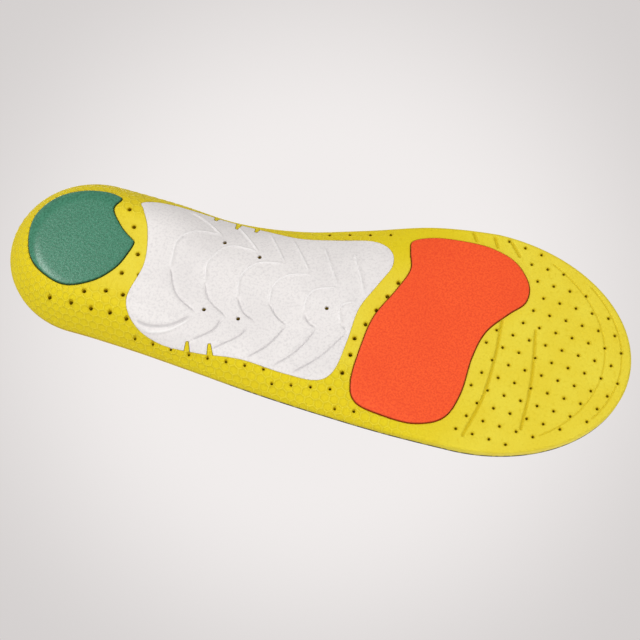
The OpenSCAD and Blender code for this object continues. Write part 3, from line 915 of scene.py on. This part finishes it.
# ---------- operators, one for each piece or group of like pieces ----------
class INSOLE_OT_foam_base(bpy.types.Operator):
    """Add the moulded foam base with its pockets, air holes, grooves and honeycomb"""

    bl_idname = "insole.foam_base"
    bl_label = "Foam Base"

    def execute(self, context):
        sizes, look = context.scene.insole_sizes, context.scene.insole_look
        columns = rim_columns(sizes.columns / MM, WIDE_STEP)
        piece = shell("foam_base_body", columns, under, over, round_low=sizes.edge_round / MM, rings=64)
        grooves = [spline(placed(line), 1) for line in GROOVES]
        trims = [self.trim_line(*line) for line in TRIM_LINES]
        holes = self.air_holes()
        self.mould(piece, sizes, grooves, trims)
        self.open_up(piece, sizes.pocket_lip / MM, holes)
        self.mark(piece, grooves, trims, holes)
        finish_surface(piece, foam_finish(look, sizes))
        keep(piece, "foam", "foam_base")
        return {"FINISHED"}

    def low_side(self, xyz):
        """Whether each point is on the lower half of the foam."""
        x, y, z = xyz.T
        return z < (under(x, y) + over(x, y)) / 2

    def open_up(self, piece, lip, holes):
        """Cuts the pockets, with the fingers left standing in the shank's, and the air holes."""
        pad_deep = PAD_SINK + CEMENT
        heel = pocket("heel_pocket", HEEL_PAD, 1.0, 10, pad_deep, lip)
        forefoot = pocket("forefoot_pocket", FOREFOOT_PAD, 1.2, 10, pad_deep, lip)
        shank = pocket("shank_pocket", SHANK, SHANK_STEP, 24, SHANK_DEEP + CEMENT, 0.12, gap=0.08)
        cut(shank, fingers("foam_fingers", 0))
        cut(piece, heel, forefoot, shank, drills("air_holes", holes, 0.3))

    def mark(self, piece, grooves, trims, holes):
        """Writes what the finish reads: the honeycomb, the walls, and how near each groove and hole is."""
        xyz = points_of(piece)
        xy = xyz[:, :2]
        x, y = xy.T
        walked, deep = rim_place(x, y)
        on_top = xyz[:, 2] > over(x, y) - 0.1
        reach, _ = reach_of(x, y)
        attribute(piece, "comb", comb_mask(x, y) * ~on_top)
        attribute(piece, "wall", smoothstep(0.3, 0.75, reach) * (1 - smoothstep(45, 95, x)))
        attribute(piece, "rim_along", walked)
        attribute(piece, "rim_in", deep)
        # the dip mask: where the finish paints shade, in the flex grooves, along the trim lines and round
        # each hole's mouth
        bore = np.min([np.hypot(x - hx, y - hy) - width / 2 for hx, hy, width, _ in holes], axis=0)
        groove = 1 - smoothstep(0.25, 0.9, nearest(xy, grooves))
        trim = 0.7 - 0.7 * smoothstep(0.15, 0.6, nearest(xy, trims))
        hole_shade = 0.9 - 0.9 * smoothstep(0.1, 0.9, bore)
        attribute(piece, "dip", np.maximum(np.maximum(groove, trim), hole_shade) * self.low_side(xyz))

    def trim_line(self, back, first, last):
        """The toe's outline moved back towards the heel."""
        turns = np.radians(np.arange(first, last + 1, 3))
        return placed(np.column_stack((
            BALL_X - back + TOE_REACH * np.cos(turns), MID_LINE[-1] + HALF_WIDTH[-1] * np.sin(turns))))

    def mould(self, piece, sizes, grooves, trims):
        """Raises the honeycomb lines, and sinks the flex grooves and the trim lines."""
        xyz = points_of(piece)
        near = (nearest(xyz[:, :2], grooves) < 2.4) | (nearest(xyz[:, :2], trims) < 1.4)
        refine(piece, near & self.low_side(xyz), cuts=2)
        xyz = points_of(piece)
        x, y, z = xyz.T
        xy = xyz[:, :2]
        outside = z < over(x, y) - 0.3
        walked, deep = rim_place(x, y)
        edge = cell_edge(walked, deep, sizes.comb_pitch / MM)
        comb = comb_mask(x, y) * smoothstep(0.6, 1.6, deep)
        raised = (1 - smoothstep(0, 0.8, edge)) * sizes.comb_depth / MM * comb
        dip = 1 - smoothstep(0.2, 1.1, nearest(xy, grooves))
        line = 1 - smoothstep(0.1, 0.6, nearest(xy, trims))
        raised -= dip * sizes.groove_depth / MM + line * sizes.trim_depth / MM
        move_points(piece, xyz + normals_of(piece) * (raised * outside)[:, None])

    def air_holes(self):
        """Every hole's x, y, diameter and mouth height."""
        spots = [(p, HEEL_HOLE) for p in HEEL_HOLES + SHANK_HOLES]
        for rows, width in ((HOLE_ROWS, HEEL_HOLE), (SMALL_ROWS, TOE_HOLE)):
            for first, last, count in rows:
                spots += [(p, width) for p in np.linspace(first, last, count)]
        loop = spline(FOREFOOT_PAD[1], 1.0, closed=True)
        for i in range(-GRID_REACH, GRID_REACH + 1):
            for j in range(-GRID_REACH, GRID_REACH + 1):
                p = np.array(HOLE_ORIGIN) + HOLE_PITCH * (i * np.array(HOLE_ACROSS) + j * np.array(HOLE_UP))
                reach, _ = reach_of(p[0], p[1] + SHIFT)
                clear = np.hypot(*(loop - p).T).min() > HOLE_MARGIN
                if p[0] > TOE_START and reach < TOE_LIMIT and clear and not encloses(loop, p):
                    spots.append((p, TOE_HOLE))
        return bores(spots)


def bores(spots):
    """(x, y, diameter, mouth height) of each hole, from its drawn place and its diameter."""
    made = []
    for spot, width in spots:
        x, y = placed(spot)
        made.append((x, y, width, float(under(x, y))))
    return made


def encloses(loop, point):
    """Whether a closed plan curve goes round a point."""
    a, b = loop - point, np.roll(loop, -1, 0) - point
    turn = np.arctan2(a[:, 0] * b[:, 1] - a[:, 1] * b[:, 0], (a * b).sum(1))
    return abs(turn.sum()) > math.pi


def outline_of(plan):
    """A plan's closed curve, ending on its first point."""
    loop = spline(placed(plan[1]), PLAN_STEP, closed=True)
    return np.vstack((loop, loop[:1]))


class INSOLE_OT_pads(bpy.types.Operator):
    """Add the heel pad and the forefoot pad, each with its cement"""

    bl_idname = "insole.pads"
    bl_label = "Pads"

    def execute(self, context):
        sizes, look = context.scene.insole_sizes, context.scene.insole_look
        rounding = sizes.pad_round / MM
        cement = cement_finish()
        for name, plan, slot, rough, grain in (
                ("heel_pad", HEEL_PAD, "green_pad", 0.2, 0.8),
                ("forefoot_pad", FOREFOOT_PAD, "orange_pad", 0.5, 1.2)):
            body, deep = getattr(look, name), getattr(look, name + "_deep")
            pad = plate(
                name + "_body", plan, PLAN_STEP, 20, above(under, -PROUD), above(under, PAD_SINK), rounding)
            # the side mask marks where the finish paints shade on the pad's side wall
            inside = distance(points_of(pad)[:, :2], outline_of(plan))
            attribute(pad, "side", 1 - smoothstep(0.05, 0.4, inside))
            finish_surface(pad, pad_finish(name + "_elastomer", tuple(body), tuple(deep), rough, grain))
            keep(pad, slot, name)
            film = plate(
                name + "_film", plan, FILM_STEP, 10, above(under, PAD_SINK), above(under, PAD_SINK + CEMENT),
                grow=-FILM_INSET)
            finish_surface(film, cement)
            keep(film, "cement", name + "_adhesive")
        return {"FINISHED"}


class INSOLE_OT_arch_shank(bpy.types.Operator):
    """Add the arch shank with its moulded relief, and its cement"""

    bl_idname = "insole.arch_shank"
    bl_label = "Arch Shank"

    def execute(self, context):
        sizes, look = context.scene.insole_sizes, context.scene.insole_look
        shank = plate(
            "arch_shank_plate", SHANK, SHANK_STEP, 44, under, above(under, SHANK_DEEP), rounding=0.2)
        self.mould(shank, sizes.relief / MM)
        holes = bores([(spot, HEEL_HOLE) for spot in SHANK_HOLES])
        cut(shank, fingers("shank_notches", POCKET_GAP), drills("shank_holes", holes, 0.25))
        finish_surface(shank, shank_finish(look))
        keep(shank, "shank", "arch_shank")
        film = plate(
            "arch_shank_film", SHANK, 1.6, 20, above(under, SHANK_DEEP), above(under, SHANK_DEEP + CEMENT),
            grow=-FILM_INSET)
        cut(film, fingers("film_notches", POCKET_GAP + FILM_INSET), drills("film_holes", holes, 0.25))
        finish_surface(film, cement_finish())
        keep(film, "cement", "shank_adhesive")
        return {"FINISHED"}

    def mould(self, shank, height):
        """Raises and sinks the relief lines on the outer face, fading at their ends and at its edge."""
        lines = [(spline(placed(points), 0.6), width, sign) for points, width, sign in RELIEF_LINES]
        xyz = points_of(shank)
        face = xyz[:, 2] < under(*xyz[:, :2].T) + 0.4
        near = nearest(xyz[:, :2], [line for line, _, _ in lines]) < 1.9
        refine(shank, near & face, cuts=1)
        xyz = points_of(shank)
        xy = xyz[:, :2]
        face = xyz[:, 2] < under(*xy.T) + 0.2
        relief = np.zeros(len(xyz))
        for line, width, sign in lines:
            ends = np.minimum(*(np.hypot(*(xy - end).T) for end in (line[0], line[-1])))
            shape = (1 - smoothstep(0.1, width, distance(xy, line))) * smoothstep(-1.5, 3.0, ends)
            relief = np.where(np.abs(shape) > np.abs(relief), sign * shape, relief)
        relief *= face * smoothstep(0.4, 2.0, distance(xy, outline_of(SHANK)))
        move_points(shank, xyz + normals_of(shank) * (relief * height)[:, None])
        # the finish paints a highlight on the raised lines and shade in the sunk ones from this relief
        attribute(shank, "relief", relief)


class INSOLE_OT_cover(bpy.types.Operator):
    """Add the printed cover cloth, its dark backing and the cement under them"""

    bl_idname = "insole.cover"
    bl_label = "Cover"

    def execute(self, context):
        look = context.scene.insole_look
        columns = rim_columns(context.scene.insole_sizes.columns / MM, WIDE_STEP)
        felt = backing_finish(look)
        for name, low, thick, inset, slot, node, finish in (
                ("cover_cement", 0, CEMENT, 0.6, "cement", "cover_adhesive", cement_finish()),
                ("cover_backing_felt", CEMENT, BACKING, 0.25, "backing", "cover_backing", felt),
                ("top_cover_knit", CEMENT + BACKING, CLOTH, 0, "cloth", "top_cover", cover_finish(look))):
            layer = shell(
                name, columns, above(over, low), above(over, low + thick), inset=inset,
                rings=28, top_rings=44)
            self.lay_out(layer)
            finish_surface(layer, finish)
            keep(layer, slot, node)
        return {"FINISHED"}

    def lay_out(self, layer):
        """Gives each point its place on the cloth before it was bent up the walls."""
        x, y = points_of(layer)[:, :2].T
        spine = np.clip(x, HEEL_X, BALL_X)
        start = np.column_stack((spine, mid_line(spine)))
        span = np.column_stack((x, y)) - start
        flat = np.hypot(*span.T)
        heights = np.array([over(*(start + span * share).T) for share in np.linspace(0, 1, 25)])
        bent = np.hypot(np.diff(heights, axis=0), flat / 24).sum(0)
        laid = start + span * (bent / np.maximum(flat, 0.001))[:, None]
        reach, _ = reach_of(x, y)
        attribute(layer, "cut_edge", smoothstep(0.9985, 0.9995, reach))
        attribute(layer, "laid_x", laid[:, 0])
        attribute(layer, "laid_y", laid[:, 1])


class INSOLE_OT_stage(bpy.types.Operator):
    """Add the camera, the lights, the pale floor and the backdrop behind the sole"""

    bl_idname = "insole.stage"
    bl_label = "Stage"

    def execute(self, context):
        stage = context.scene.insole_stage
        turn, tilt = stage.turn, stage.tilt
        down_sole = Vector((math.sin(turn), math.cos(turn), 0))
        right = Vector((math.cos(turn), -math.sin(turn), 0))
        back = down_sole * math.sin(tilt) + Vector((0, 0, -math.cos(tilt)))
        up = back.cross(right)
        middle = Vector((0, SHIFT * MM, 0)) + right * 0.00399 - up * 0.00838
        self.camera(context, stage, middle + back * stage.distance, right, up, back)
        for name, aside, above, near, size, share in (
                ("main_light", -0.6, 0.42, 0.72, 0.4, 1.0),
                ("side_light", 0.6, -0.1, 0.6, 0.5, 0.35),
                ("low_light", -0.25, -0.7, 0.52, 0.4, 0.3),
                ("gloss_light", -0.33, 0.565, 0.7, 0.12, 0.13)):
            spot = middle + right * aside + up * above + back * near
            self.lamp(name, spot, middle, size, stage.key * share)
        for name, spot, size, share in (
                ("top_light", (-0.35, -0.45, 0.9), 0.6, 1.5),
                ("top_fill", (0.6, 0.5, 0.7), 0.7, 0.6)):
            self.lamp(name, Vector(spot), Vector((0, 0, 0.01)), size, stage.key * share)
        self.world(context, stage.fill)
        self.floor()
        self.backdrop(stage, middle - back * 1.0, right, up, back)
        context.scene.view_settings.view_transform = "Standard"
        return {"FINISHED"}

    def camera(self, context, stage, place, right, up, back):
        lens = bpy.data.cameras.new("camera")
        lens.lens, lens.sensor_width = stage.focal_length, 36
        camera = bpy.data.objects.new("camera", lens)
        camera.matrix_world = Matrix.Translation(place) @ Matrix((right, up, back)).transposed().to_4x4()
        context.scene.collection.objects.link(camera)
        context.scene.camera = camera

    def lamp(self, name, place, aim, size, power):
        light = bpy.data.lights.new(name, "AREA")
        light.shape, light.size, light.energy = "DISK", size, power
        lamp = bpy.data.objects.new(name, light)
        facing = (aim - place).to_track_quat("-Z", "Y").to_matrix().to_4x4()
        lamp.matrix_world = Matrix.Translation(place) @ facing
        bpy.context.scene.collection.objects.link(lamp)

    def world(self, context, fill):
        world = bpy.data.worlds.new("studio")
        world.use_nodes = True
        tree = world.node_tree
        seen = tree.nodes.new("ShaderNodeLightPath")
        background = tree.nodes["Background"]
        background.inputs["Color"].default_value = (*linear((236, 234, 233)), 1)
        strength = tree.nodes.new("ShaderNodeMix")
        strength.inputs[2].default_value, strength.inputs[3].default_value = fill, 1.0
        tree.links.new(seen.outputs["Is Camera Ray"], strength.inputs[0])
        tree.links.new(strength.outputs[0], background.inputs["Strength"])
        context.scene.world = world

    def plane(self, name, half, matrix, finish):
        bm = bmesh.new()
        bmesh.ops.create_grid(bm, x_segments=1, y_segments=1, size=half)
        bmesh.ops.transform(bm, verts=bm.verts, matrix=matrix)
        sheet = show(name, bm)
        sheet.data.materials.append(finish)
        for ray in ("visible_diffuse", "visible_glossy", "visible_transmission", "visible_shadow"):
            setattr(sheet, ray, False)

    def one_sided(self, f, shader):
        """Shows a sheet's front only, so that it never stands between the camera and the object."""
        behind = f.node("ShaderNodeNewGeometry", out="Backfacing")
        clear = f.node("ShaderNodeBsdfTransparent")
        mixed_shader = f.node("ShaderNodeMixShader", values={0: behind, 1: shader, 2: clear})
        f.node("ShaderNodeOutputMaterial", values={"Surface": mixed_shader})
        return f.material

    def floor(self):
        f = Finish("pale_floor")
        where = f.place()
        tone = f.mix(f.noise(where, 0.02, 2.0), linear((232, 230, 228)), linear((226, 223, 222)))
        away = f.node("ShaderNodeVectorMath", {"operation": "LENGTH"}, {0: where}, out="Value")
        glow = f.mix(away.step(400.0, 2600.0), linear((131, 130, 128)), linear((228, 225, 224)))
        shader = f.node("ShaderNodeBsdfPrincipled", values={
            "Base Color": tone, "Roughness": 0.6, "Emission Color": glow, "Emission Strength": 0.55})
        self.plane("floor", 8.0, Matrix.Translation((0, 0, -0.00005)), self.one_sided(f, shader))

    def backdrop(self, stage, place, right, up, back):
        f = Finish("pale_backdrop")
        away = f.node("ShaderNodeVectorMath", {"operation": "DISTANCE"}, {
            0: f.node("ShaderNodeTexCoord", out="Object"), 1: place}, out="Value")
        # painted pool of light: the backdrop glows brightest at its centre and darker towards its corners
        tone = f.mix(away.step(0.18, 0.5), tuple(stage.centre), tuple(stage.corner))
        shader = f.node("ShaderNodeEmission", values={"Color": tone})
        turned = Matrix.Translation(place) @ Matrix((right, up, back)).transposed().to_4x4()
        self.plane("backdrop", 0.42, turned, self.one_sided(f, shader))


class INSOLE_PT_panel(bpy.types.Panel):
    """Lists the insole's pieces, sizes and colours"""

    bl_idname = "INSOLE_PT_panel"
    bl_label = "Cushioned Insole"
    bl_space_type = "VIEW_3D"
    bl_region_type = "UI"
    bl_category = "Insole"

    def draw(self, context):
        for operator in OPERATORS:
            self.layout.operator(operator.bl_idname)
        for group in (context.scene.insole_sizes, context.scene.insole_look, context.scene.insole_stage):
            box = self.layout.box()
            for name in group.bl_rna.properties.keys():
                if name not in ("rna_type", "name"):
                    box.prop(group, name)


GROUPS = {"insole_sizes": InsoleSizes, "insole_look": InsoleLook, "insole_stage": InsoleStage}
OPERATORS = (INSOLE_OT_foam_base, INSOLE_OT_pads, INSOLE_OT_arch_shank, INSOLE_OT_cover, INSOLE_OT_stage)
CLASSES = (*GROUPS.values(), *OPERATORS, INSOLE_PT_panel)


def register():
    for made in CLASSES:
        bpy.utils.register_class(made)
    for name, group in GROUPS.items():
        setattr(bpy.types.Scene, name, PointerProperty(type=group))


def unregister():
    for name in GROUPS:
        delattr(bpy.types.Scene, name)
    for made in reversed(CLASSES):
        bpy.utils.unregister_class(made)


def main():
    register()
    for operator in OPERATORS:
        group, name = operator.bl_idname.split(".")
        getattr(getattr(bpy.ops, group), name)()


if __name__ == "__main__":
    main()
